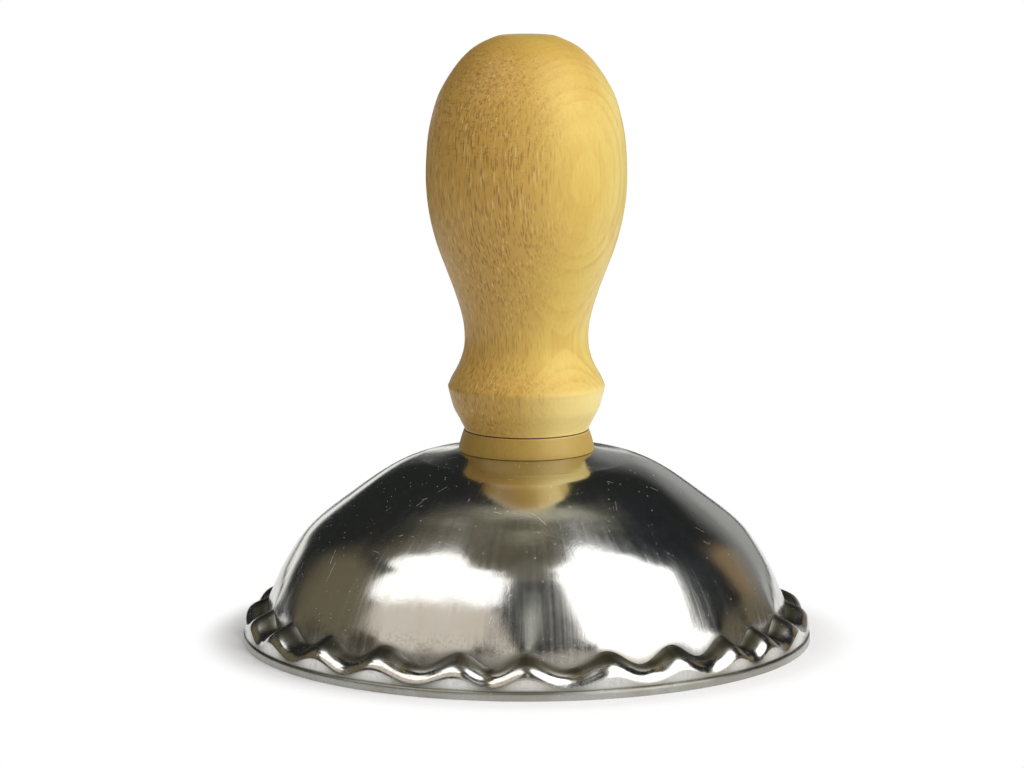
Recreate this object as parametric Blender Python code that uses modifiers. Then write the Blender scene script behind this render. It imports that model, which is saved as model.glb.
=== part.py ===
"""A round pierogi cutter: a pressed steel dome with a crimped rim, screwed to a turned beech handle.

Lengths are in metres and +Z is up. The origin is the centre of the cutting edge, which lies on
the plane z = 0. A crest of the crimped rim faces -Y, the front.
"""
import math

import bmesh
import bpy

# Cutter shell, pressed from one sheet
RIM_DIAMETER = 0.100
SHEET_THICKNESS = 0.0006
CROWN_HEIGHT = 0.0335
CROWN_MARGIN = 0.0011
FLANGE_WIDTH = 0.0040
FLANGE_HEIGHT = 0.0062
LIP_HEIGHT = 0.0012
LIP_STEP = 0.0004
CRIMP_COUNT = 24
CRIMP_DEPTH = 0.0024
CRIMP_FADE_WIDTH = 0.0022

# Beech handle, turned
HANDLE_LENGTH = 0.0722
BULB_DIAMETER = 0.0350
BULB_HEIGHT = 0.0482
TOP_FACET_DIAMETER = 0.0104
WAIST_DIAMETER = 0.0217
WAIST_HEIGHT = 0.0192
RIDGE_DIAMETER = 0.0275
RIDGE_HEIGHT = 0.0111
NECK_DIAMETER = 0.0218
FOOT_DIAMETER = 0.0238
FOOT_HEIGHT = 0.0032
FOOT_TAPER = 0.0008
FOOT_ROUNDING = 0.0002
GROOVE_WIDTH = 0.0004
GROOVE_DEPTH = 0.0005

# Wood screw, driven from inside the dome
SCREW_DIAMETER = 0.0040
SCREW_CORE_DIAMETER = 0.0028
SCREW_LENGTH = 0.0300
SCREW_TIP_LENGTH = 0.0040
SCREW_PLAIN_LENGTH = 0.0060
SCREW_HEAD_DIAMETER = 0.0080
SCREW_HEAD_HEIGHT = 0.0024
THREAD_PITCH = 0.0022
THREAD_WIDTH = 0.0009
THREAD_ROOT_DEPTH = 0.0003
RECESS_LENGTH = 0.0044
RECESS_WIDTH = 0.0009
RECESS_DEPTH = 0.0014

# Washer under the screw's head
WASHER_DIAMETER = 0.0140
WASHER_THICKNESS = 0.0010

# Clearances and cuts
SEAT_GAP = 0.0003
HOLE_CLEARANCE = 0.0003
BORE_END_CLEARANCE = 0.0010
CUT_OVERRUN = 0.0010
MERGE_DISTANCE = 0.00001

# Numbers of facets
CRIMP_STEPS = 6
HANDLE_STEPS = 40
SMALL_STEPS = 24
SPAN_STEPS = 2
THREAD_TURN_STEPS = 12

# Outline of the dome, from the crown's edge to the flange: share of the radius between
# them, and share of the height between them
DOME_SHARES = (
    (0.000, 1.000), (0.070, 0.986), (0.160, 0.958), (0.310, 0.889), (0.455, 0.775), (0.590, 0.654),
    (0.715, 0.540), (0.825, 0.400), (0.915, 0.218), (0.965, 0.075), (1.000, 0.000),
)

# Section through the crimped flange at the middle of its wave: share of the flange's width,
# and share of its height above the lip
FLANGE_SHARES = ((0.000, 1.00), (0.375, 0.72), (0.675, 0.71), (0.880, 0.60), (0.940, 0.30))
WAVE_FULL_HEIGHT_SHARE = 0.60

# Top of the bulb: exponent of its superellipse
BULB_ROUNDNESS = 2.25
BULB_TOP_STEPS = 9

# Bulb between waist and widest place, cove between ridge and waist, collar between neck and
# ridge: share of the height and share of the radius from the lower place to the upper one
BULB_SHARES = ((0.00, 0.00), (0.17, 0.09), (0.31, 0.28), (0.45, 0.505), (0.59, 0.73), (0.76, 0.917), (1.00, 1.00))
COVE_SHARES = ((0.00, 0.00), (0.20, 0.25), (0.38, 0.545), (0.63, 0.832), (0.82, 0.97), (1.00, 1.00))
COLLAR_SHARES = ((0.00, 0.00), (0.24, 0.33), (0.50, 0.645), (0.76, 0.86), (1.00, 1.00))

# Head of the screw: share of its radius and share of its height, from the edge to the middle
HEAD_SHARES = ((1.00, 0.00), (1.00, 0.40), (0.88, 0.75), (0.62, 0.95), (0.30, 1.00))

# Places worked out from the sizes
RIM_RADIUS = RIM_DIAMETER / 2
DOME_FOOT_RADIUS = RIM_RADIUS - FLANGE_WIDTH
CROWN_RADIUS = FOOT_DIAMETER / 2 + CROWN_MARGIN
BORE_RADIUS = SCREW_DIAMETER / 2 + HOLE_CLEARANCE
HANDLE_BASE_Z = CROWN_HEIGHT + SEAT_GAP
WASHER_TOP_Z = CROWN_HEIGHT - SHEET_THICKNESS - SEAT_GAP
HEAD_TOP_Z = WASHER_TOP_Z - WASHER_THICKNESS - SEAT_GAP
SCREW_TIP_Z = HEAD_TOP_Z + SCREW_LENGTH


def clear_scene():
    """Remove every object that is already in the scene."""
    for old in list(bpy.data.objects):
        bpy.data.objects.remove(old, do_unlink=True)


def new_collection(name):
    """Make a collection under the scene's own."""
    collection = bpy.data.collections.new(name)
    bpy.context.scene.collection.children.link(collection)
    return collection


def new_material(name, colour, roughness, metallic):
    """Make a Principled material of one colour."""
    material = bpy.data.materials.new(name)
    material.use_nodes = True
    shader = material.node_tree.nodes["Principled BSDF"]
    shader.inputs["Base Color"].default_value = (*colour, 1.0)
    shader.inputs["Roughness"].default_value = roughness
    shader.inputs["Metallic"].default_value = metallic
    material.diffuse_color = (*colour, 1.0)
    return material


def new_object(name, mesh, collection, material=None):
    """Put a mesh in the scene as a named object."""
    item = bpy.data.objects.new(name, mesh)
    collection.objects.link(item)
    if material is not None:
        mesh.materials.append(material)
    return item


def smooth_curve(points, steps):
    """Return points on a Catmull-Rom curve through the given points, steps to a span."""
    first = tuple(2 * a - b for a, b in zip(points[0], points[1]))
    last = tuple(2 * a - b for a, b in zip(points[-1], points[-2]))
    padded = [first, *points, last]
    curve = []
    for index in range(len(points) - 1):
        p0, p1, p2, p3 = padded[index:index + 4]
        for step in range(steps):
            t = step / steps
            curve.append(tuple(
                (2 * b + (c - a) * t + (2 * a - 5 * b + 4 * c - d) * t ** 2 + (3 * b - a - 3 * c + d) * t ** 3) / 2
                for a, b, c, d in zip(p0, p1, p2, p3)
            ))
    curve.append(tuple(points[-1]))
    return curve


def between(shares, low, high):
    """Turn (height share, radius share) pairs into (radius, height) points between two places."""
    return [
        (low[0] + radius_share * (high[0] - low[0]), low[1] + height_share * (high[1] - low[1]))
        for height_share, radius_share in shares
    ]


def ease(value):
    """Smooth step from 0 to 1, flat outside that range."""
    value = min(max(value, 0.0), 1.0)
    return value * value * (3 - 2 * value)


def profile_mesh(name, outline):
    """Make a mesh of one open line in the XZ plane from (radius, height) points."""
    mesh = bpy.data.meshes.new(name)
    work = bmesh.new()
    corners = [work.verts.new((radius, 0, height)) for radius, height in outline]
    for start, end in zip(corners, corners[1:]):
        work.edges.new((start, end))
    work.to_mesh(mesh)
    work.free()
    return mesh


def evaluated_mesh(item):
    """Return the mesh that an object has after its modifiers, as new data."""
    graph = bpy.context.evaluated_depsgraph_get()
    return bpy.data.meshes.new_from_object(item.evaluated_get(graph), depsgraph=graph)


def turned_mesh(name, outline, steps, collection):
    """Turn an outline about the Z axis and return the mesh. The outline runs from the top down."""
    item = new_object(name, profile_mesh(name, outline), collection)
    screw = item.modifiers.new("turn", "SCREW")
    screw.axis = "Z"
    screw.steps = steps
    screw.render_steps = steps
    screw.use_merge_vertices = True
    screw.merge_threshold = MERGE_DISTANCE
    mesh = evaluated_mesh(item)
    bpy.data.objects.remove(item, do_unlink=True)
    return mesh


def smooth_shading(mesh, angle=math.radians(35)):
    """Shade a mesh smooth except at edges sharper than the angle."""
    mesh.shade_smooth()
    mesh.set_sharp_from_angle(angle=angle)


def cut(item, cutter):
    """Subtract a cutter from an object."""
    boolean = item.modifiers.new("cut", "BOOLEAN")
    boolean.operation = "DIFFERENCE"
    boolean.solver = "EXACT"
    boolean.object = cutter
    cutter.hide_render = True
    cutter.display_type = "WIRE"


def join(item, other):
    """Fuse another object into this one and remove the other."""
    boolean = item.modifiers.new("join", "BOOLEAN")
    boolean.operation = "UNION"
    boolean.solver = "EXACT"
    boolean.object = other
    mesh = evaluated_mesh(item)
    item.modifiers.remove(boolean)
    item.data = mesh
    bpy.data.objects.remove(other, do_unlink=True)


def box_cutter(name, size, centre, collection):
    """Make a box-shaped cutter of a given size about a centre."""
    mesh = bpy.data.meshes.new(name)
    work = bmesh.new()
    bmesh.ops.create_cube(work, size=1)
    bmesh.ops.scale(work, vec=size, verts=work.verts)
    bmesh.ops.translate(work, vec=centre, verts=work.verts)
    work.to_mesh(mesh)
    work.free()
    return new_object(name, mesh, collection)


def dome_outline():
    """Outer outline of the dome from the crown's edge to the flange."""
    return [
        (
            CROWN_RADIUS + radius_share * (DOME_FOOT_RADIUS - CROWN_RADIUS),
            FLANGE_HEIGHT + height_share * (CROWN_HEIGHT - FLANGE_HEIGHT),
        )
        for radius_share, height_share in DOME_SHARES
    ]


def flange_outline():
    """Outer outline of the flange and the cutting lip at the middle of the crimps' wave."""
    rise = FLANGE_HEIGHT - LIP_HEIGHT
    wall = [
        (DOME_FOOT_RADIUS + radius_share * FLANGE_WIDTH, LIP_HEIGHT + height_share * rise)
        for radius_share, height_share in FLANGE_SHARES
    ]
    step = (RIM_RADIUS - LIP_STEP, LIP_HEIGHT + LIP_STEP / 2)
    return [*wall, step, (RIM_RADIUS, LIP_HEIGHT), (RIM_RADIUS, 0)]


def crimp_wave(radius, height, angle):
    """Height that the crimps add at a place on the sheet; a crest lies at -Y."""
    from_dome = ease((radius - DOME_FOOT_RADIUS + CRIMP_FADE_WIDTH) / CRIMP_FADE_WIDTH)
    full_height = WAVE_FULL_HEIGHT_SHARE * (FLANGE_HEIGHT - LIP_HEIGHT)
    from_lip = ease((height - LIP_HEIGHT - LIP_STEP / 2) / (full_height - LIP_STEP / 2))
    phase = CRIMP_COUNT * (angle + math.pi / 2)
    return CRIMP_DEPTH / 2 * from_dome * from_lip * math.cos(phase)


def make_shell(collection, material):
    """Pressed sheet: crown with a screw hole, dome, crimped flange and cutting lip."""
    outline = [(BORE_RADIUS, CROWN_HEIGHT), *dome_outline(), *flange_outline()[1:]]
    mesh = turned_mesh("cutter_shell", outline, CRIMP_COUNT * CRIMP_STEPS, collection)
    for corner in mesh.vertices:
        x, y, z = corner.co
        corner.co.z = z + crimp_wave(math.hypot(x, y), z, math.atan2(y, x))
    smooth_shading(mesh)
    shell = new_object("cutter_shell", mesh, collection, material)
    solidify = shell.modifiers.new("sheet", "SOLIDIFY")
    solidify.thickness = SHEET_THICKNESS
    solidify.offset = -1
    solidify.use_even_offset = True
    solidify.use_quality_normals = True
    return shell


def bulb_top():
    """Upper half of the bulb from its flat top down to its widest place."""
    radius = BULB_DIAMETER / 2
    height = HANDLE_LENGTH - BULB_HEIGHT
    facet_share = TOP_FACET_DIAMETER / BULB_DIAMETER
    top_share = (1 - facet_share ** BULB_ROUNDNESS) ** (1 / BULB_ROUNDNESS)
    end = math.atan2(top_share ** (BULB_ROUNDNESS / 2), facet_share ** (BULB_ROUNDNESS / 2))
    points = []
    for step in range(BULB_TOP_STEPS, 0, -1):
        turn = end * step / BULB_TOP_STEPS
        across = radius * math.cos(turn) ** (2 / BULB_ROUNDNESS)
        up = height / top_share * math.sin(turn) ** (2 / BULB_ROUNDNESS)
        points.append((across, HANDLE_BASE_Z + BULB_HEIGHT + up))
    return points


def handle_outline():
    """Outline of the handle from its top down its outer side, under the foot and up the bore."""
    widest = (BULB_DIAMETER / 2, HANDLE_BASE_Z + BULB_HEIGHT)
    waist = (WAIST_DIAMETER / 2, HANDLE_BASE_Z + WAIST_HEIGHT)
    ridge = (RIDGE_DIAMETER / 2, HANDLE_BASE_Z + RIDGE_HEIGHT)
    neck = (NECK_DIAMETER / 2, HANDLE_BASE_Z + FOOT_HEIGHT + GROOVE_WIDTH)
    bulb = smooth_curve(between(BULB_SHARES, waist, widest), SPAN_STEPS)
    cove = smooth_curve(between(COVE_SHARES, ridge, waist), SPAN_STEPS)
    collar = smooth_curve(between(COLLAR_SHARES, neck, ridge), SPAN_STEPS)
    upward = [*collar[:-1], *cove[:-1], *bulb]
    foot_radius = FOOT_DIAMETER / 2
    foot = [
        (NECK_DIAMETER / 2 - GROOVE_DEPTH, HANDLE_BASE_Z + FOOT_HEIGHT + GROOVE_WIDTH / 2),
        (foot_radius - FOOT_TAPER, HANDLE_BASE_Z + FOOT_HEIGHT),
        (foot_radius, HANDLE_BASE_Z + FOOT_ROUNDING),
        (foot_radius - FOOT_ROUNDING, HANDLE_BASE_Z),
    ]
    bore_top = SCREW_TIP_Z + BORE_END_CLEARANCE
    bore = [(BORE_RADIUS, HANDLE_BASE_Z), (BORE_RADIUS, bore_top - BORE_RADIUS / 2), (0, bore_top)]
    return [(0, HANDLE_BASE_Z + HANDLE_LENGTH), *bulb_top(), *reversed(upward), *foot, *bore]


def make_handle(collection, material):
    """Turned beech handle with its groove, foot and pilot bore."""
    mesh = turned_mesh("handle", handle_outline(), HANDLE_STEPS, collection)
    smooth_shading(mesh)
    return new_object("handle", mesh, collection, material)


def screw_outline():
    """Outline of the screw's core, from its tip down to the middle of its head."""
    plain_top = HEAD_TOP_Z + SCREW_PLAIN_LENGTH
    core_radius = SCREW_CORE_DIAMETER / 2
    radius = SCREW_DIAMETER / 2
    shank = [
        (0, SCREW_TIP_Z),
        (core_radius, SCREW_TIP_Z - SCREW_TIP_LENGTH),
        (core_radius, plain_top + radius - core_radius),
        (radius, plain_top),
        (radius, HEAD_TOP_Z),
    ]
    head_radius = SCREW_HEAD_DIAMETER / 2
    head = [
        (radius_share * head_radius, HEAD_TOP_Z - height_share * SCREW_HEAD_HEIGHT)
        for radius_share, height_share in HEAD_SHARES
    ]
    return [*shank, *head, (0, HEAD_TOP_Z - SCREW_HEAD_HEIGHT)]


def make_thread(collection):
    """Ridge of the thread, wound on the screw's core, as one closed body."""
    root = SCREW_CORE_DIAMETER / 2 - THREAD_ROOT_DEPTH
    start = HEAD_TOP_Z + SCREW_PLAIN_LENGTH + SCREW_DIAMETER / 2
    length = SCREW_TIP_Z - SCREW_TIP_LENGTH - start
    side = THREAD_WIDTH / 2
    ridge = [(root, start + side), (SCREW_DIAMETER / 2, start), (root, start - side), (root, start + side)]
    item = new_object("thread", profile_mesh("thread", ridge), collection)
    screw = item.modifiers.new("wind", "SCREW")
    screw.axis = "Z"
    screw.screw_offset = THREAD_PITCH
    screw.iterations = int(length / THREAD_PITCH)
    screw.steps = THREAD_TURN_STEPS
    screw.render_steps = THREAD_TURN_STEPS
    work = bmesh.new()
    work.from_mesh(evaluated_mesh(item))
    bmesh.ops.remove_doubles(work, verts=work.verts, dist=MERGE_DISTANCE)
    bmesh.ops.holes_fill(work, edges=[edge for edge in work.edges if edge.is_boundary])
    bmesh.ops.recalc_face_normals(work, faces=work.faces)
    item.modifiers.remove(screw)
    work.to_mesh(item.data)
    work.free()
    return item


def make_screw(collection, cutters, material):
    """Pan-head wood screw with a cross recess, its head inside the dome."""
    mesh = turned_mesh("handle_screw", screw_outline(), SMALL_STEPS, collection)
    screw = new_object("handle_screw", mesh, collection)
    join(screw, make_thread(collection))
    screw.data.materials.clear()
    screw.data.materials.append(material)
    smooth_shading(screw.data)
    head_bottom = HEAD_TOP_Z - SCREW_HEAD_HEIGHT
    depth = RECESS_DEPTH + CUT_OVERRUN
    centre = (0, 0, head_bottom + RECESS_DEPTH - depth / 2)
    bars = {"recess_bar_x": (RECESS_LENGTH, RECESS_WIDTH, depth), "recess_bar_y": (RECESS_WIDTH, RECESS_LENGTH, depth)}
    for name, size in bars.items():
        cut(screw, box_cutter(name, size, centre, cutters))
    return screw


def make_washer(collection, material):
    """Flat round washer between the screw's head and the crown."""
    outline = [
        (BORE_RADIUS, WASHER_TOP_Z),
        (WASHER_DIAMETER / 2, WASHER_TOP_Z),
        (WASHER_DIAMETER / 2, WASHER_TOP_Z - WASHER_THICKNESS),
        (BORE_RADIUS, WASHER_TOP_Z - WASHER_THICKNESS),
        (BORE_RADIUS, WASHER_TOP_Z),
    ]
    mesh = turned_mesh("screw_washer", outline, SMALL_STEPS, collection)
    work = bmesh.new()
    work.from_mesh(mesh)
    bmesh.ops.remove_doubles(work, verts=work.verts, dist=MERGE_DISTANCE)
    work.to_mesh(mesh)
    work.free()
    smooth_shading(mesh)
    return new_object("screw_washer", mesh, collection, material)


def main():
    """Model the four pieces of the cutter."""
    clear_scene()
    parts = new_collection("pierogi_cutter")
    cutters = new_collection("cutters")
    steel = new_material("polished_steel", (0.60, 0.60, 0.58), 0.22, 1.0)
    beech = new_material("beech", (0.60, 0.38, 0.13), 0.48, 0.0)
    zinc = new_material("zinc_screw", (0.62, 0.60, 0.55), 0.35, 1.0)
    washer_steel = new_material("zinc_washer", (0.55, 0.55, 0.54), 0.40, 1.0)
    make_shell(parts, steel)
    make_handle(parts, beech)
    make_screw(parts, cutters, zinc)
    make_washer(parts, washer_steel)


main()
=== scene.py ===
"""Looks of a round pierogi cutter: a turned beech handle on a pressed, crimped steel dome.

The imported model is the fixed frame. The dome and the handle are replaced by finer pieces in the
same places. The screw and the washer keep their meshes and get better finishes. Lengths are in
metres, +Z is up, and the origin is the centre of the cutting edge.
"""

from __future__ import annotations

import logging
import math
from dataclasses import dataclass
from enum import Enum
from functools import cache, reduce
from typing import Any, Mapping, Sequence

import bmesh  # noqa: E402
import bpy  # noqa: E402
from mathutils import Euler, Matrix, Vector  # noqa: E402

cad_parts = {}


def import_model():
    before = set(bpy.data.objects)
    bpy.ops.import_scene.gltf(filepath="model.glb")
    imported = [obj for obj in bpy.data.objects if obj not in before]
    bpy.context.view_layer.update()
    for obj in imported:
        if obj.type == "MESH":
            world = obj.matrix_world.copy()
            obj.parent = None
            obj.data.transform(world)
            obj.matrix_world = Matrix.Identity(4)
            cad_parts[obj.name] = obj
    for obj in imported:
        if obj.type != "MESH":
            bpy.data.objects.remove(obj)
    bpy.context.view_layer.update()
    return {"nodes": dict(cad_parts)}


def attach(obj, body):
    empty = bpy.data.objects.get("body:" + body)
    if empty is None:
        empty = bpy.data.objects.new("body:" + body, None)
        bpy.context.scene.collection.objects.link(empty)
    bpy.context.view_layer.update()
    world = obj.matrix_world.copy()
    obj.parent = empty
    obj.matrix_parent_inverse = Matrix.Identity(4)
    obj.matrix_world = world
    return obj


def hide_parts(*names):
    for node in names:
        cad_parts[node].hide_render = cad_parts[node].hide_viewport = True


LOG = logging.getLogger("pierogi_cutter")

BODY = "root"
IMAGE_WIDTH = 1024
MILLIMETRE = 0.001
SHARP_ANGLE = math.radians(38)
MERGE_DISTANCE = 0.000005
WHITE = (1.0, 1.0, 1.0)

FLOAT = "NodeSocketFloat"
VECTOR = "NodeSocketVector"
GEOMETRY = "NodeSocketGeometry"
MATERIAL = "NodeSocketMaterial"
SOCKET_TYPES = {float: FLOAT, int: "NodeSocketInt"}

Point = tuple[float, ...]
Pair = tuple[float, float]
Colour = tuple[float, float, float]
Socket = bpy.types.NodeSocket
Tree = bpy.types.NodeTree
Item = bpy.types.Object
Material = bpy.types.Material


class Fade(Enum):
    """How a mask goes from none to full."""

    STRAIGHT = "LINEAR"
    SOFT = "SMOOTHSTEP"


def linear(*screen: float) -> Colour:
    """Turns a screen colour into the linear colour that shaders use.

    Args:
        *screen: Its red, green and blue, each from 0 to 255.

    Returns:
        The linear colour.
    """
    shares = [value / 255 for value in screen]
    return tuple(share / 12.92 if share <= 0.04045 else ((share + 0.055) / 1.055) ** 2.4 for share in shares)


def smooth_line(points: Sequence[Point], steps: int) -> list[Point]:
    """Runs a smooth line through given points.

    Args:
        points: Points that the line passes through, in order, each with the same number of parts.
        steps: Number of steps from each point to the next.

    Returns:
        The points of the line, from the first given point to the last.
    """
    before = tuple(2 * a - b for a, b in zip(points[0], points[1]))
    after = tuple(2 * a - b for a, b in zip(points[-1], points[-2]))
    padded = [before, *points, after]
    line: list[Point] = []
    for corners in zip(padded, padded[1:], padded[2:], padded[3:]):
        for t in (step / steps for step in range(steps)):
            line.append(tuple(
                (2 * b + (c - a) * t + (2 * a - 5 * b + 4 * c - d) * t ** 2
                 + (3 * b - a - 3 * c + d) * t ** 3) / 2
                for a, b, c, d in zip(*corners)
            ))
    return [*line, tuple(points[-1])]


class NodeWork:
    """A node tree under construction, for shaders and for geometry."""

    def __init__(self, tree: Tree) -> None:
        """Starts on a tree and empties it."""
        self.tree = tree
        tree.nodes.clear()

    def add(self, kind: str, inputs: Mapping[Any, Any] | None = None, **settings: Any) -> bpy.types.Node:
        """Adds a node.

        Args:
            kind: Blender's name of the node type, where ShaderNode may be left out.
            inputs: What goes into its sockets, by name or number: another socket or a value.
            **settings: The node's own settings.

        Returns:
            The new node.
        """
        node = self.tree.nodes.new(kind if "Node" in kind else f"ShaderNode{kind}")
        for name, value in settings.items():
            setattr(node, name, value)
        for key, value in (inputs or {}).items():
            self.feed(node.inputs[key], value)
        return node

    def feed(self, socket: Socket, value: Any) -> None:
        """Gives a socket a value or joins another socket to it.

        Args:
            socket: The input socket.
            value: An output socket, the value itself, or None to leave it. A colour has three parts.
        """
        if isinstance(value, Socket):
            self.tree.links.new(value, socket)
        elif value is not None:
            socket.default_value = (*value, 1.0) if socket.type == "RGBA" else value

    def calc(self, operation: str, *values: Any) -> Socket:
        """Does a sum, by Blender's name for it, on one to three numbers or sockets."""
        return self.add("Math", dict(enumerate(values)), operation=operation).outputs[0]

    def times(self, *values: Any) -> Socket:
        """Multiplies numbers or sockets."""
        return reduce(lambda first, other: self.calc("MULTIPLY", first, other), values)

    def most(self, *values: Any) -> Socket:
        """Takes the highest of numbers or sockets."""
        return reduce(lambda first, other: self.calc("MAXIMUM", first, other), values)

    def vector(self, operation: str, *values: Any) -> Socket:
        """Does a sum on vectors; the result is a number where the sum gives one."""
        node = self.add("VectorMath", dict(enumerate(values)), operation=operation)
        return node.outputs["Value" if operation in ("LENGTH", "DOT_PRODUCT") else "Vector"]

    def split(self, vector: Any) -> tuple[Socket, Socket, Socket]:
        """Splits a vector into its three parts."""
        return tuple(self.add("SeparateXYZ", {0: vector}).outputs)

    def join(self, x: Any, y: Any, z: Any) -> Socket:
        """Makes a vector of three parts."""
        return self.add("CombineXYZ", {0: x, 1: y, 2: z}).outputs[0]

    def ramp(self, value: Any, low: Any, high: Any, start: Any = 0.0, end: Any = 1.0,
             fade: Fade = Fade.SOFT) -> Socket:
        """Maps a value between low and high onto start to end, held at both ends."""
        inputs = {"Value": value, "From Min": low, "From Max": high, "To Min": start, "To Max": end}
        return self.add("MapRange", inputs, interpolation_type=fade.value, clamp=True).outputs[0]

    def band(self, value: Any, low: float, high: float, soft: float) -> Socket:
        """Mask that is full between low and high, each the middle of a fade of twice the softness."""
        rise = self.ramp(value, low - soft, low + soft)
        return self.times(rise, self.ramp(value, high - soft, high + soft, 1.0, 0.0))

    def noise(self, vector: Any, scale: Any, detail: float = 2.0, roughness: float = 0.5) -> Socket:
        """Cloudy value from 0 to 1, with a number of clouds to the metre or to the vector's unit."""
        inputs = {"Vector": vector, "Scale": scale, "Detail": detail, "Roughness": roughness}
        return self.add("TexNoise", inputs).outputs[0]

    def blend(self, share: Any, first: Any, second: Any) -> Socket:
        """Mixes a share of the second colour into the first."""
        inputs = {0: share, 6: first, 7: second}
        return self.add("Mix", inputs, data_type="RGBA", clamp_factor=True).outputs[2]

    def layer(self, share: Any, first: Any, second: Any) -> Socket:
        """Mixes a share of the second shader into the first."""
        return self.add("MixShader", {0: share, 1: first, 2: second}).outputs[0]

    def light(self, colour: Any, strength: Any = 1.0, kind: str = "Emission") -> Socket:
        """Shader that gives light of its own; the kind is Emission, or Background in a world."""
        return self.add(kind, {"Color": colour, "Strength": strength}).outputs[0]

    def close(self, outputs: Mapping[str, Any]) -> Tree:
        """Ends a group with what it puts out, and gives its tree."""
        self.add("NodeGroupOutput", outputs)
        return self.tree


def new_group(name: str, inputs: Mapping[str, Any], outputs: Sequence[str], result: str = FLOAT,
              kind: str = "ShaderNodeTree") -> tuple[NodeWork, dict[str, Socket]]:
    """Starts a node group with named sockets.

    Args:
        name: The group's name.
        inputs: Default value of each input by name, or the socket's type where it has none.
        outputs: Names of the outputs.
        result: Socket type of the outputs.
        kind: Blender's name of the tree type.

    Returns:
        The group's builder, and the sockets inside it that carry the inputs.
    """
    tree = bpy.data.node_groups.new(name, kind)
    for label, default in inputs.items():
        socket_type = SOCKET_TYPES.get(type(default), default)
        socket = tree.interface.new_socket(name=label, in_out="INPUT", socket_type=socket_type)
        if socket_type != default:
            socket.default_value = default
    for label in outputs:
        tree.interface.new_socket(name=label, in_out="OUTPUT", socket_type=result)
    work = NodeWork(tree)
    given = work.add("NodeGroupInput").outputs
    return work, {label: given[label] for label in inputs}


def new_material(name: str) -> tuple[Material, NodeWork]:
    """Makes a node material.

    Args:
        name: Its name.

    Returns:
        The material and its builder.
    """
    material = bpy.data.materials.new(name)
    material.use_nodes = True
    return material, NodeWork(material.node_tree)


@cache
def hairline_group() -> Tree:
    """Fine straight scratches, seen from above: at most one to a patch in each of three layers.

    Patches are counted to the metre.

    Returns:
        The group, with a mask of the lines.
    """
    inputs = {"Vector": VECTOR, "Patches": 60.0, "Share": 0.3, "Width": 0.00008, "Length": 0.006,
              "Bend": 12.0}
    work, given = new_group("hairline_scratches", inputs, ["Mask"])
    calc, times = work.calc, work.times
    layers = []
    for shift in ((0.0, 0.0, 0.0), (0.37, 0.11, 0.0), (0.73, 0.59, 0.0)):
        plan = work.vector("ADD", given["Vector"], shift)
        place = {"Vector": plan, "Scale": given["Patches"]}
        cells = work.add("TexVoronoi", place, voronoi_dimensions="2D").outputs
        x, y, _ = work.split(work.vector("SUBTRACT", plan, cells["Position"]))
        turned, bent, drawn = work.split(cells["Color"])
        angle = times(turned, math.tau)
        cosine, sine = calc("COSINE", angle), calc("SINE", angle)
        along = calc("ADD", times(x, cosine), times(y, sine))
        across = calc("SUBTRACT", times(y, cosine), times(x, sine))
        bend = times(along, along, given["Bend"], calc("SUBTRACT", bent, 0.5))
        off = calc("ABSOLUTE", calc("ADD", across, bend))
        line = work.ramp(off, times(given["Width"], 0.4), given["Width"], 1.0, 0.0)
        reach = times(given["Length"], calc("ADD", drawn, 0.4))
        ends = work.ramp(calc("ABSOLUTE", along), times(reach, 0.6), reach, 1.0, 0.0)
        kept = calc("LESS_THAN", calc("FRACT", times(turned, 17.0)), given["Share"])
        layers.append(times(line, ends, kept))
    return work.close({"Mask": work.most(*layers)})


@cache
def speck_group() -> Tree:
    """Small round specks of dust, scattered unevenly and counted to the metre.

    Returns:
        The group, with a mask of the specks.
    """
    inputs = {"Vector": VECTOR, "Specks": 700.0, "Share": 0.1, "Size": 0.12}
    work, given = new_group("dust_specks", inputs, ["Mask"])
    cells = work.add("TexVoronoi", {"Vector": given["Vector"], "Scale": given["Specks"]}).outputs
    chosen, sized, _ = work.split(cells["Color"])
    reach = work.times(given["Size"], work.calc("ADD", sized, 0.4))
    spot = work.calc("LESS_THAN", cells["Distance"], reach)
    return work.close({"Mask": work.times(spot, work.calc("LESS_THAN", chosen, given["Share"]))})


@cache
def round_group() -> Tree:
    """Place on a round piece, with streaks that run up and down it and lines that run round it.

    Returns:
        The group, with the height and two kinds of streak.
    """
    inputs = {"Vector": VECTOR, "Streaks Around": 30.0, "Streaks Up": 25.0}
    work, given = new_group("round_piece", inputs, ["Height", "Streak", "Ring"])
    x, y, height = work.split(given["Vector"])
    right, back, _ = work.split(work.vector("NORMALIZE", work.join(x, y, 0.0)))
    turned = [work.times(part, given["Streaks Around"]) for part in (right, back)]
    streaks = work.join(*turned, work.times(height, given["Streaks Up"]))
    rings = work.vector("MULTIPLY", work.join(right, back, height), (1.5, 1.5, 2600.0))
    streak, ring = work.noise(streaks, 1.0, 3.0, 0.6), work.noise(rings, 1.0, 2.0, 0.6)
    return work.close({"Height": height, "Streak": streak, "Ring": ring})


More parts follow.
